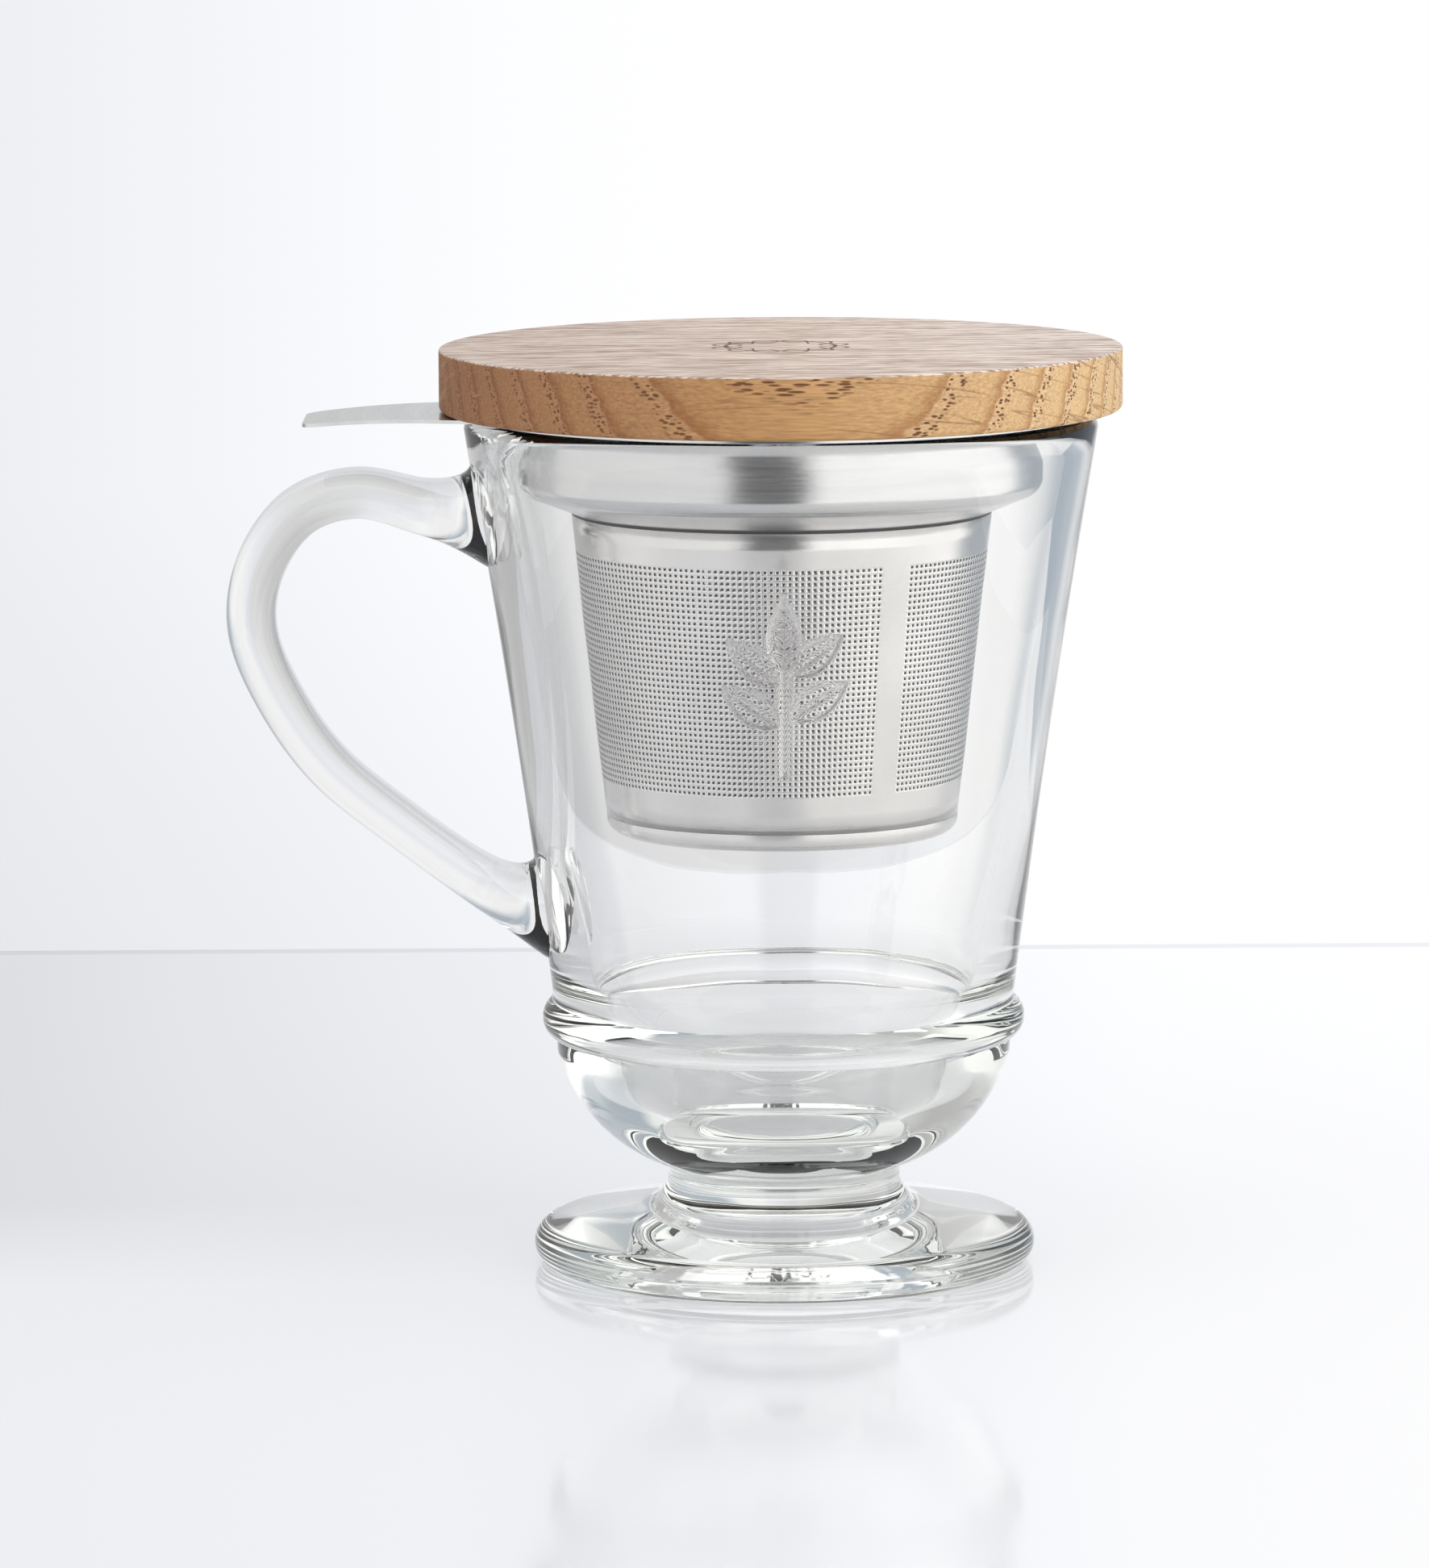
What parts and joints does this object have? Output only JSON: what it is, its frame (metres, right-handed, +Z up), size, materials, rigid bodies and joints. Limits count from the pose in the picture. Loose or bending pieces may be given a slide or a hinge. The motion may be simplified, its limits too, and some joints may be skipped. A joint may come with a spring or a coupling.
{
  "type": "lidded tea mug with infuser",
  "caption": "Footed glass tea mug with an ear handle, a lift-out perforated steel infuser with a thumb tab hung on the rim, and a lift-off oak lid with a seal.",
  "frame": {"origin": "centre of the foot's underside, on the table", "axes": "+Z up through the lid; the handle and the thumb tab reach towards -X; -Y is the front"},
  "size_m": [0.1275, 0.097, 0.1315],
  "materials": {
    "glass": "clear pressed soda-lime glass, polished",
    "steel": "stainless sheet, satin on the collar, fine perforation in the wall",
    "oak": "solid oak, sanded, matt oil",
    "silicone": "translucent white silicone, matt"
  },
  "bodies": {
    "mug": {"glass_mug": "glass"},
    "infuser": {"infuser_collar": "steel", "infuser_wall": "steel", "infuser_base": "steel"},
    "lid": {"lid_board": "oak", "lid_seal": "silicone"}
  },
  "joints": [
    {"name": "infuser_lift", "type": "slide", "parent": "mug", "child": "infuser", "axis": [0, 0, 1], "range_m": [0, 0.075]},
    {"name": "lid_lift", "type": "slide", "parent": "infuser", "child": "lid", "axis": [0, 0, 1], "range_m": [0, 0.05]}
  ]
}
